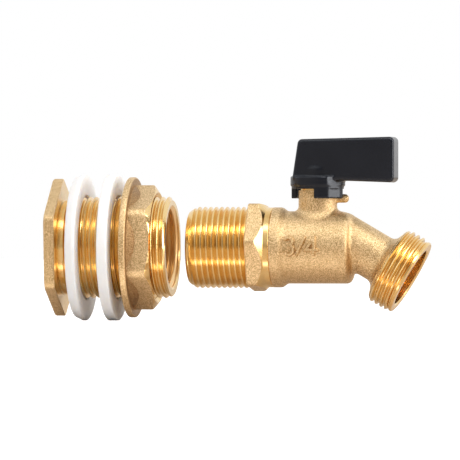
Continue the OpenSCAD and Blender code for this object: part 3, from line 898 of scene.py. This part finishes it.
tail_low, tail_high = tail_box[0][0], tail_box[1][0]
collar_x = TAIL_HEX_X + TAIL_HEX_H
spigot_x = collar_x + COLLAR_H
tail_hex = hexagon(*TAIL_ACROSS)
tail_crown_r = COLLAR_R + 0.1
tail_bevel = np.clip((tail_hex - tail_crown_r) * TAIL_BEVEL_TAN, 0, None)
tail_flats = wall([
    (tail_hex - TAIL_EDGE, TAIL_HEX_X), (tail_hex, TAIL_HEX_X + TAIL_EDGE),
    (tail_hex, collar_x - tail_bevel),
], TAIL_TURN)
tail_turning = wall([
    (tail_hex, collar_x - tail_bevel), (np.full(COLUMNS, tail_crown_r), collar_x - 0.1),
    (COLLAR_R, collar_x), (COLLAR_R, spigot_x - TAIL_EDGE),
    (COLLAR_R - TAIL_EDGE, spigot_x),
    (SPIGOT_R, spigot_x), (SPIGOT_R, tail_high), (WAY_R, tail_high), (WAY_R, spigot_x),
    (TAIL_BORE_R, collar_x), (TAIL_BORE_R, tail_low + 0.4), (TAIL_BORE_R + 0.4, tail_low),
], TAIL_TURN)
tail_thread = thread(
    turned_brass, start=tail_low, end=TAIL_HEX_X, pitch=PIPE_PITCH, crest_radius=PIPE_R,
    root_radius=PIPE_ROOT_R, crest_share=0.16, root_share=0.10, end_ring=PIPE_R - 0.1,
    start_ring=TAIL_BORE_R + 0.4, start_height=-0.35, end_height=1.0, bevel=1.7,
    phase=PIPE_CREST_X, turn=TAIL_TURN,
)
tail_shoulder = wall([
    (PIPE_R - 0.1, TAIL_HEX_X), (tail_hex - TAIL_EDGE, TAIL_HEX_X),
], TAIL_TURN)
piece(
    "tail_turned",
    [(tail_flats, cast_brass), (tail_turning, turned_brass), (tail_thread, turned_brass),
     (tail_shoulder, turned_brass)],
    "tap", ["inlet_tail"], ALONG_X,
)


# %% [markdown]
# ## Cast and moulded forms from distances
#
# A casting has no sharp inner corners: every boss flows into the barrel with a
# fillet, because sand and metal need it. Bevels on a mesh can't follow the curve
# where a boss meets a barrel. So the body and the lever are first described by a
# distance: negative inside, positive outside. Distances of simple forms join with a
# true fillet by one formula, and a net of quads is then drawn over the place where
# the distance is zero.

# %% Distances and their joints
def rod(along, across, low, high, radius, edge):
    """Distance from a round bar with rounded ends, from its two coordinates."""
    d_along = np.abs(along - (low + high) / 2) - (high - low) / 2 + edge
    d_across = across - radius + edge
    outside = np.hypot(np.maximum(d_along, 0), np.maximum(d_across, 0))
    return np.minimum(np.maximum(d_along, d_across), 0) + outside - edge


def join(a, b, fillet):
    """Union of two forms with a round fillet where they meet."""
    inner = np.hypot(np.maximum(fillet - a, 0), np.maximum(fillet - b, 0))
    return np.maximum(fillet, np.minimum(a, b)) - inner


def cut_to(a, b, edge):
    """What lies in both forms, with a rounded edge between them."""
    outer = np.hypot(np.maximum(edge + a, 0), np.maximum(edge + b, 0))
    return np.minimum(-edge, np.maximum(a, b)) + outer


def polygon_distance(x, y, corners):
    """Distance from a flat polygon, negative inside."""
    best = np.full(np.shape(x), 1e9)
    inside = np.zeros(np.shape(x), bool)
    for (ax, ay), (bx, by) in zip(corners, corners[1:] + corners[:1]):
        ex, ey = bx - ax, by - ay
        wx, wy = x - ax, y - ay
        t = np.clip((wx * ex + wy * ey) / (ex * ex + ey * ey), 0, 1)
        best = np.minimum(best, np.hypot(wx - t * ex, wy - t * ey))
        crosses = (ay > y) != (by > y)
        side = wx - wy * ex / (ey if ey else 1e-9)
        inside ^= crosses & (side < 0)
    return np.where(inside, -best, best)


def stroke_distance(x, y, strokes):
    """Distance from the nearest of several lines, each a list of points."""
    best = np.full(np.shape(x), 1e9)
    for line in strokes:
        for (ax, ay), (bx, by) in zip(line, line[1:]):
            ex, ey = bx - ax, by - ay
            t = np.clip(((x - ax) * ex + (y - ay) * ey) / (ex * ex + ey * ey), 0, 1)
            best = np.minimum(best, np.hypot(x - ax - t * ex, y - ay - t * ey))
    return best


# %% [markdown]
# The net is the simplest one that stays closed: each small cube of the grid that
# the surface passes gets one point, and each edge of the grid that the surface
# crosses gets one quad. The points are then pulled onto the exact surface along
# the slope of the distance, so that flat faces come out flat.

# %% Draw a net over a form
def net(distance, low, high, step):
    """Points and quads of the closed surface where distance(x, y, z) is zero."""
    axes = [np.arange(a, b + step, step) for a, b in zip(low, high)]
    values = distance(*np.meshgrid(*axes, indexing="ij"))
    inside = values < 0
    cells = tuple(n - 1 for n in values.shape)
    total = np.zeros(cells + (3,))
    count = np.zeros(cells)
    for axis in range(3):
        others = [k for k in range(3) if k != axis]
        for shift in ((0, 0), (0, 1), (1, 0), (1, 1)):
            near = [slice(None, -1)] * 3
            for k, s in zip(others, shift):
                near[k] = slice(1, None) if s else slice(None, -1)
            far = list(near)
            far[axis] = slice(1, None)
            a, b = values[tuple(near)], values[tuple(far)]
            hit = (a < 0) != (b < 0)
            place = np.where(hit, a / np.where(hit, a - b, 1), 0)
            total[..., axis] += place
            for k, s in zip(others, shift):
                total[..., k] += hit * s
            count += hit
    used = count > 0
    number = np.full(cells, -1)
    number[used] = np.arange(used.sum())
    points = np.argwhere(used) + total[used] / count[used][:, None]
    points = np.array(low) + points * step
    quads = []
    for axis in range(3):
        u, v = (axis + 1) % 3, (axis + 2) % 3
        lower = np.take(inside, range(inside.shape[axis] - 1), axis)
        upper = np.take(inside, range(1, inside.shape[axis]), axis)
        edges = np.argwhere(lower != upper)
        edges = edges[(edges[:, u] > 0) & (edges[:, v] > 0)]
        back_u, back_v = np.eye(3, dtype=int)[u], np.eye(3, dtype=int)[v]
        ring = [edges, edges - back_u, edges - back_u - back_v, edges - back_v]
        corner = np.stack([number[tuple(c.T)] for c in ring], axis=1)
        leaving = lower[tuple(edges.T)]
        corner[~leaving] = corner[~leaving][:, ::-1]
        quads.append(corner)
    for _ in range(3):
        points = pull(distance, points, step)
    return points, np.concatenate(quads)


def pull(distance, points, step):
    """Moves points along the slope of the distance onto its zero."""
    h = step / 50
    value = distance(*points.T)
    slope = np.stack([
        (distance(*(points + h * e).T) - distance(*(points - h * e).T)) / (2 * h)
        for e in np.eye(3)
    ], axis=1)
    square = np.maximum((slope ** 2).sum(axis=1), 0.25)
    move = -slope * (value / square)[:, None]
    length = np.linalg.norm(move, axis=1, keepdims=True)
    return points + move * np.minimum(1, 0.5 * step / np.maximum(length, 1e-9))


def net_mesh(name, points, quads):
    """A mesh in millimetres from points and quads."""
    made = bpy.data.meshes.new(name)
    made.from_pydata(points, [], quads)
    return made


# %% [markdown]
# Bores, machined faces and threads meet the casting in crisp edges. They are cut
# and joined with the Manifold boolean, which wants closed meshes and is fast.

# %% Cut and join closed meshes
def boolean(mesh, steps):
    """Applies (operation, tool mesh) steps to a mesh. All sizes are millimetres."""
    base = bpy.data.objects.new("base", mesh)
    tools = []
    bpy.context.scene.collection.objects.link(base)
    for operation, tool_mesh in steps:
        tool = bpy.data.objects.new("tool", tool_mesh)
        bpy.context.scene.collection.objects.link(tool)
        modifier = base.modifiers.new("cut", "BOOLEAN")
        modifier.operation, modifier.object, modifier.solver = operation, tool, "MANIFOLD"
        modifier.material_mode = "TRANSFER"
        tools.append(tool)
    graph = bpy.context.evaluated_depsgraph_get()
    made = bpy.data.meshes.new_from_object(base.evaluated_get(graph), depsgraph=graph)
    for thing in [base, *tools]:
        bpy.data.objects.remove(thing)
    return made


def solid(parts, place=Matrix.Identity(4)):
    """A closed mesh in millimetres from walls and threads."""
    made = piece("tool", parts, None, [], place)
    mesh = made.data
    mesh.transform(Matrix.Scale(1 / MM, 4))
    bpy.data.objects.remove(made)
    return mesh


def capped(rings, material, place=Matrix.Identity(4)):
    """A turned solid, closed at both ends by a cap that meets on the axis."""
    start, end = rings[0][1], rings[-1][1]
    return solid([(wall([(0, start), *rings, (0, end)]), material)], place)


print("forms ready")


# %% [markdown]
# ## The cast body
#
# A barrel with a bead at its mouth, the boss for the stem with a small stop lug on
# it, and a neck that leaves at a slant and widens to the outlet. The neck's fillet
# is wider below, where the two meet at a closed angle. The size of the pipe thread
# is cast on the side in raised figures: each figure is a few strokes, and the skin
# rises over them by the distance to the nearest stroke.

# %% Describe the casting
MOUTH_X = body_box[0][0]
BEFORE_MOUTH = MOUTH_X - 6
BARREL_R = 11.75
BARREL_END = MOUTH_X + 25.5
BARREL_EDGE = 1.7
BEAD_R = 12.95
BEAD_END = MOUTH_X + 3.3
BEAD_EDGE = 1.1
BOSS_R = 6.25
FILLET = 1.7
LUG_REACH = 4.35
LUG_R = 1.5
LUG_Z = 15.9
LUG_HALF = 1.4
LUG_EDGE = 1.25
SPOUT_ANGLE = math.radians(30.4)
SPOUT_X = MOUTH_X + 28.1
NECK_R = 7.8
NECK_L = 11.8
SHOULDER = (9.0, 8.2)
SHOULDER_TOP = (11.15, 13.0)
SHOULDER_FILLET = 1.6
SPOUT_FILLET = 1.1
SPOUT_FILLET_MORE = 1.3
SPARE = 0.6
ALONG_SPOUT = (Matrix.Translation((SPOUT_X, 0, 0))
               @ Matrix.Rotation(math.pi / 2 + SPOUT_ANGLE, 4, "Y"))


def over_axis(x, z):
    """Height over the slanted axis of the outlet."""
    return (x - SPOUT_X) * math.sin(SPOUT_ANGLE) + z * math.cos(SPOUT_ANGLE)


def stop_lug(x, y, z):
    aside = np.maximum(np.abs(x - stem_x - LUG_REACH) - LUG_REACH, 0)
    return cut_to(np.hypot(aside, y) - LUG_R, np.abs(z - LUG_Z) - LUG_HALF, LUG_EDGE)


def slanted_neck(x, y, z):
    """The neck and the shoulder that carries the hose thread."""
    t = (x - SPOUT_X) * math.cos(SPOUT_ANGLE) - z * math.sin(SPOUT_ANGLE)
    s = np.hypot(over_axis(x, z), y)
    neck = rod(t, s, -9, NECK_L, NECK_R, 2.0)
    slope = math.atan2(SHOULDER_TOP[1] - SHOULDER[1], SHOULDER_TOP[0] - SHOULDER[0])
    cone = (s - SHOULDER[1]) * math.cos(slope) - (t - SHOULDER[0]) * math.sin(slope)
    cone = cut_to(cone, np.maximum(t - NECK_L, 4 - t), 0.1)
    return join(neck, cut_to(cone, s - SHOULDER_TOP[1] + 0.2, 0.5), SHOULDER_FILLET)


# %% [markdown]
# The figures are cast with the body, so they belong to the same distance. They look
# at the viewer only, hence the limit on y.

# %% Describe the figures and join all of it
def bow(centre, radius, start, stop, steps=9):
    """Points along an arc, for a figure's curved stroke."""
    return [
        (centre[0] + radius * math.cos(math.radians(a)),
         centre[1] + radius * math.sin(math.radians(a)))
        for a in np.linspace(start, stop, steps)
    ]


FIGURES = [
    bow((75.8, 1.95), 1.3, 140, -85) + bow((75.85, -0.85), 1.5, 85, -140),
    [(78.3, -2.3), (80.9, 3.2)],
    [(83.9, -2.3), (84.1, 3.2), (81.4, -0.8), (85.2, -0.8)],
]
FIGURE_RISE = 1.0
FIGURE_HALF = 0.68
FIGURE_SLOPE = 0.36
FIGURE_SIDE = -5


def casting(x, y, z):
    """The raw casting, with some metal to spare where it is faced off later."""
    across = np.hypot(y, z)
    barrel = rod(x, across, BEFORE_MOUTH, BARREL_END, BARREL_R, BARREL_EDGE)
    barrel = cut_to(barrel, over_axis(x, z) - NECK_R, 1.2)
    bead = rod(x, across, BEFORE_MOUTH, BEAD_END, BEAD_R, BEAD_EDGE)
    boss = rod(z, np.hypot(x - stem_x, y), -2, boss_top + 3, BOSS_R, 0.3)
    form = join(join(barrel, bead, FILLET), boss, FILLET)
    form = join(form, stop_lug(x, y, z), 0.5)
    wider_below = SPOUT_FILLET_MORE * np.clip((6 - z) / 10, 0, 1)
    form = join(form, slanted_neck(x, y, z), SPOUT_FILLET + wider_below)
    rise = np.clip((FIGURE_HALF - stroke_distance(x, z, FIGURES)) / FIGURE_SLOPE, 0, 1)
    form = form - FIGURE_RISE * rise * rise * (3 - 2 * rise) * (y < FIGURE_SIDE)
    return np.maximum(form, np.maximum(MOUTH_X - SPARE - x, z - boss_top - SPARE))


BODY_STEP = 0.31
casting_low = (MOUTH_X - 1.2, -14.2, -18.5)
casting_high = (115.5, 14.2, boss_top + 1.2)
casting_points, casting_quads = net(casting, casting_low, casting_high, BODY_STEP)
casting_mesh = net_mesh("casting", casting_points, casting_quads)
print("casting:", len(casting_quads), "quads")


# %% [markdown]
# The slopes of the figures are a third of a millimetre wide, which is too fine for a
# net that has to cover the whole casting. So the net is split only under the
# figures, and its new points are pulled onto the same surface.

# %% Refine the net under the figures
def refine(mesh, distance, low, high, cuts, step):
    """Splits the faces that lie in a box and pulls their points onto the surface."""
    def in_box(vertex):
        return all(a < c < b for a, c, b in zip(low, vertex.co, high))

    fine = bmesh.new()
    fine.from_mesh(mesh)
    edges = [e for e in fine.edges if all(map(in_box, e.verts))]
    bmesh.ops.subdivide_edges(fine, edges=edges, cuts=cuts, use_grid_fill=True)
    near = [v for v in fine.verts if in_box(v)]
    points = np.array([v.co for v in near])
    for _ in range(4):
        points = pull(distance, points, step)
    for vertex, point in zip(near, points):
        vertex.co = point
    fine.to_mesh(mesh)
    fine.free()


FIGURE_LOW, FIGURE_HIGH = (73.2, -14.6, -3.6), (86.6, -8.0, 4.4)
refine(casting_mesh, casting, FIGURE_LOW, FIGURE_HIGH, 3, BODY_STEP / 4)
print("casting with figures:", len(casting_mesh.polygons), "faces")


# %% [markdown]
# A casting is machined where another part meets it. The mouth, the boss and the
# outlet are faced off, the hose thread is joined on, and the bores go in last. They
# are turned surfaces, so each cut brings its own finish with it.

# %% Machine the casting
CHAMBER_R = 9.15
MOUTH_R = 10.0
MOUTH_DEPTH = 7.0
RIM_R = PIPE_R - 0.4
RIM_W = 1.1
RIM_BEVEL = 0.35
SPOUT_L = 19.4
SPOUT_THREAD = 11.0
SPOUT_BORE_R = 6.0
LAP_R = 6.5
LAP = 0.4

to_mouth = Matrix.Translation((MOUTH_X, 0, 0)) @ ALONG_X
on_stem = Matrix.Translation((stem_x, 0, 0))
mouth_facing = capped([(30, -20), (30, 0)], cast_brass, to_mouth)
boss_facing = capped([(12, boss_top), (12, boss_top + 5)], cast_brass, on_stem)
spout_facing = capped([(15, SPOUT_THREAD + 0.2), (15, 20)], cast_brass, ALONG_SPOUT)

thread_low, rim_low = SPOUT_THREAD - LAP, SPOUT_L - RIM_W
mouth_low = SPOUT_L - MOUTH_DEPTH
outlet_thread = thread(
    turned_brass, start=thread_low, end=rim_low, pitch=PIPE_PITCH, crest_radius=PIPE_R,
    root_radius=PIPE_ROOT_R, crest_share=0.16, root_share=0.10, start_ring=LAP_R,
    end_ring=PIPE_ROOT_R, bevel=1.2, phase=SPOUT_THREAD + PIPE_PITCH / 2,
)
outlet_rim = wall([
    (PIPE_ROOT_R, rim_low), (RIM_R - 0.2, rim_low), (RIM_R, rim_low + 0.2),
    (RIM_R, SPOUT_L - RIM_BEVEL), (RIM_R - RIM_BEVEL, SPOUT_L), (MOUTH_R + 0.4, SPOUT_L),
    (MOUTH_R, SPOUT_L - 0.4), (MOUTH_R, mouth_low), (SPOUT_BORE_R, mouth_low - 2),
    (SPOUT_BORE_R, thread_low - 1), (LAP_R, thread_low - 1), (LAP_R, thread_low),
])
outlet = solid([(outlet_thread, turned_brass), (outlet_rim, turned_brass)], ALONG_SPOUT)


# %% Bore the casting
spout_bore = capped([
    (SPOUT_BORE_R, -WAY_R), (SPOUT_BORE_R, SPOUT_L + 3),
], turned_brass, ALONG_SPOUT)
mouth_bore = capped([
    (SPOUT_BORE_R, mouth_low - 2), (MOUTH_R, mouth_low), (MOUTH_R, SPOUT_L + 3),
], bore_brass_painted_light, ALONG_SPOUT)
body_bore = capped([
    (11.0, -1), (11.0, 1.0), (SPIGOT_R + 0.03, 1.0), (SPIGOT_R + 0.03, 6.2),
    (CHAMBER_R, 6.2), (CHAMBER_R, 22.17), (WAY_R, 22.17), (WAY_R, SPOUT_X - MOUTH_X),
], turned_brass, to_mouth)
stem_bore = capped([
    (5.3, 0), (5.3, 11.6), (4.05, 11.6), (4.05, boss_top - 1.6), (5.2, boss_top - 1.6),
    (5.2, boss_top + 3),
], turned_brass, on_stem)
casting_mesh.materials.append(cast_brass)
body_mesh = boolean(casting_mesh, [
    ("DIFFERENCE", mouth_facing), ("DIFFERENCE", boss_facing), ("DIFFERENCE", spout_facing),
    ("DIFFERENCE", spout_bore), ("DIFFERENCE", mouth_bore), ("UNION", outlet),
    ("DIFFERENCE", body_bore), ("DIFFERENCE", stem_bore),
])
piece("body_cast", [(body_mesh, None)], "tap", ["valve_body"])


# %% [markdown]
# ## The lever
#
# One moulding of black nylon: an upright blade on a round hub, a low tower round
# the stem that stands a little proud of the blade, and two skirts that reach down
# and stop on the body's lug. Moulded plastic has a small radius on every edge,
# and it is those radii that catch the light, so the lever is described by
# distances too. The square hole, the screw's hole and the well are cut crisp.

# %% Describe the lever
HUB_Z = lever_box[0][2] + 3.9
HUB_R = 8.9
HUB_H = 3.3
HUB_EDGE = 0.5
RIM_MID_R = 8.1
RIM_HALF = 0.4
RIM_DROP = 0.8
SKIRT_TOP = 1.5
SKIRT_DROP = 3.9
SKIRT_IN_R = 7.0
SKIRT_R = 8.7
FACET_R = 8.3
FACET_TURN = math.radians(49)
STOP_GAP = 1.65
BLADE_HALF = 5.7
BLADE_ROUND = 1.1
BLADE_CORNER = 1.6
TOWER_R = 6.1
TOWER_H = 6.9
TOWER_EDGE = 1.5
BLADE_OUTLINE = [(-7.8, 1.65), (-5.75, 15.3), (25.7, 16.1), (25.7, 1.2), (8.9, 1.8)]


def inset_outline(corners, inset):
    """The outline, each side moved inwards by inset. It runs clockwise."""
    lines = []
    for (ax, ay), (bx, by) in zip(corners, corners[1:] + corners[:1]):
        length = math.hypot(bx - ax, by - ay)
        nx, ny = (by - ay) / length, -(bx - ax) / length
        lines.append((ax + nx * inset, ay + ny * inset, bx - ax, by - ay))
    moved = []
    for (ax, ay, ux, uy), (bx, by, vx, vy) in zip(lines[-1:] + lines[:-1], lines):
        s = ((bx - ax) * vy - (by - ay) * vx) / (ux * vy - uy * vx)
        moved.append((ax + s * ux, ay + s * uy))
    return moved


blade_inner = inset_outline(BLADE_OUTLINE, BLADE_CORNER)


def moulding(x, y, z):
    """The lever without its holes, round the stem's axis, from the hub's underside."""
    across = np.hypot(x, y)
    side = polygon_distance(x, z, blade_inner) - BLADE_CORNER
    blade = cut_to(side, np.abs(y) - BLADE_HALF, BLADE_ROUND)
    hub = rod(z, across, 0, HUB_H, HUB_R, HUB_EDGE)
    tower = rod(z, across, 1, TOWER_H, TOWER_R, TOWER_EDGE)
    ring = np.abs(across - (SKIRT_IN_R + SKIRT_R) / 2) - (SKIRT_R - SKIRT_IN_R) / 2
    rim = np.abs(across - RIM_MID_R) - RIM_HALF
    rim = cut_to(rim, np.maximum(-RIM_DROP - z, z - SKIRT_TOP), 0.2)
    low = np.maximum(-SKIRT_DROP - z, z - SKIRT_TOP)
    right = np.maximum(-x, y + STOP_GAP)
    left = np.maximum(x + STOP_GAP, -y)
    skirt = cut_to(cut_to(ring, np.minimum(right, left), 0.3), low, 0.35)
    facet = np.abs(x * math.sin(FACET_TURN) - y * math.cos(FACET_TURN)) - FACET_R
    hub, rim, skirt = (cut_to(part, facet, 0.2) for part in (hub, rim, skirt))
    form = join(blade, hub, 0.5)
    form = join(form, tower, 0.35)
    form = np.minimum(form, rim)
    return join(form, skirt, 0.25)


LEVER_STEP = 0.27
LEVER_LOW, LEVER_HIGH = (-9.6, -9.6, -4.6), (26.4, 9.6, 16.8)
TO_STEM = Matrix.Translation((stem_x, 0, HUB_Z))
lever_points, lever_quads = net(moulding, LEVER_LOW, LEVER_HIGH, LEVER_STEP)
print("lever:", len(lever_quads), "quads")


# %% Cut the lever's holes
SQUARE = 2.6
SQUARE_TOP = 4.6
WELL_R = 4.2
WELL_LOW = 5.8
WELL_TOP = 15.2
SCREW_HOLE_R = 2.2


def square_hole():
    """A block in the shape of the stem's square end."""
    corners = [(-SQUARE, -SQUARE), (SQUARE, -SQUARE), (SQUARE, SQUARE), (-SQUARE, SQUARE)]
    points = [(x, y, z) for z in (-5, SQUARE_TOP) for x, y in corners]
    sides = [(i, (i + 1) % 4, (i + 1) % 4 + 4, i + 4) for i in range(4)]
    faces = [(3, 2, 1, 0), (4, 5, 6, 7), *sides]
    made = net_mesh("square", points, faces)
    made.materials.append(lever_plastic)
    return made


lever_mesh = net_mesh("moulding", lever_points, lever_quads)
lever_mesh.materials.append(lever_plastic)
screw_hole = capped([(SCREW_HOLE_R, 1), (SCREW_HOLE_R, 20)], lever_plastic)
well = capped([
    (WELL_R, WELL_LOW), (WELL_R, WELL_TOP), (WELL_R + 2, WELL_TOP + 2),
], lever_plastic)
lever_mesh = boolean(lever_mesh, [
    ("DIFFERENCE", square_hole()), ("DIFFERENCE", screw_hole), ("DIFFERENCE", well),
])
piece("lever_moulded", [(lever_mesh, None)], "handle", ["lever_handle"],
      TO_STEM)


# %% [markdown]
# ## What stays as the CAD made it
#
# The gland, the screw and everything inside the valve have simple turned shapes
# that the CAD model already gives exactly. They only need their finishes.

# %% Dress the remaining nodes
node_finish = {
    "packing_gland": turned_brass, "stem": turned_brass, "handle_screw": screw_steel,
    "ball": ball_chrome, "inlet_seat": seat_plastic, "outlet_seat": seat_plastic,
    "stem_thrust_washer": seat_plastic, "stem_packing": seat_plastic,
    "tail_seal_ring": seal_rubber, "lower_o_ring": seal_rubber, "upper_o_ring": seal_rubber,
}
for name, material in node_finish.items():
    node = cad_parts[name]
    for holder in node.material_slots:
        holder.material = material
print("dressed:", len(node_finish), "nodes")
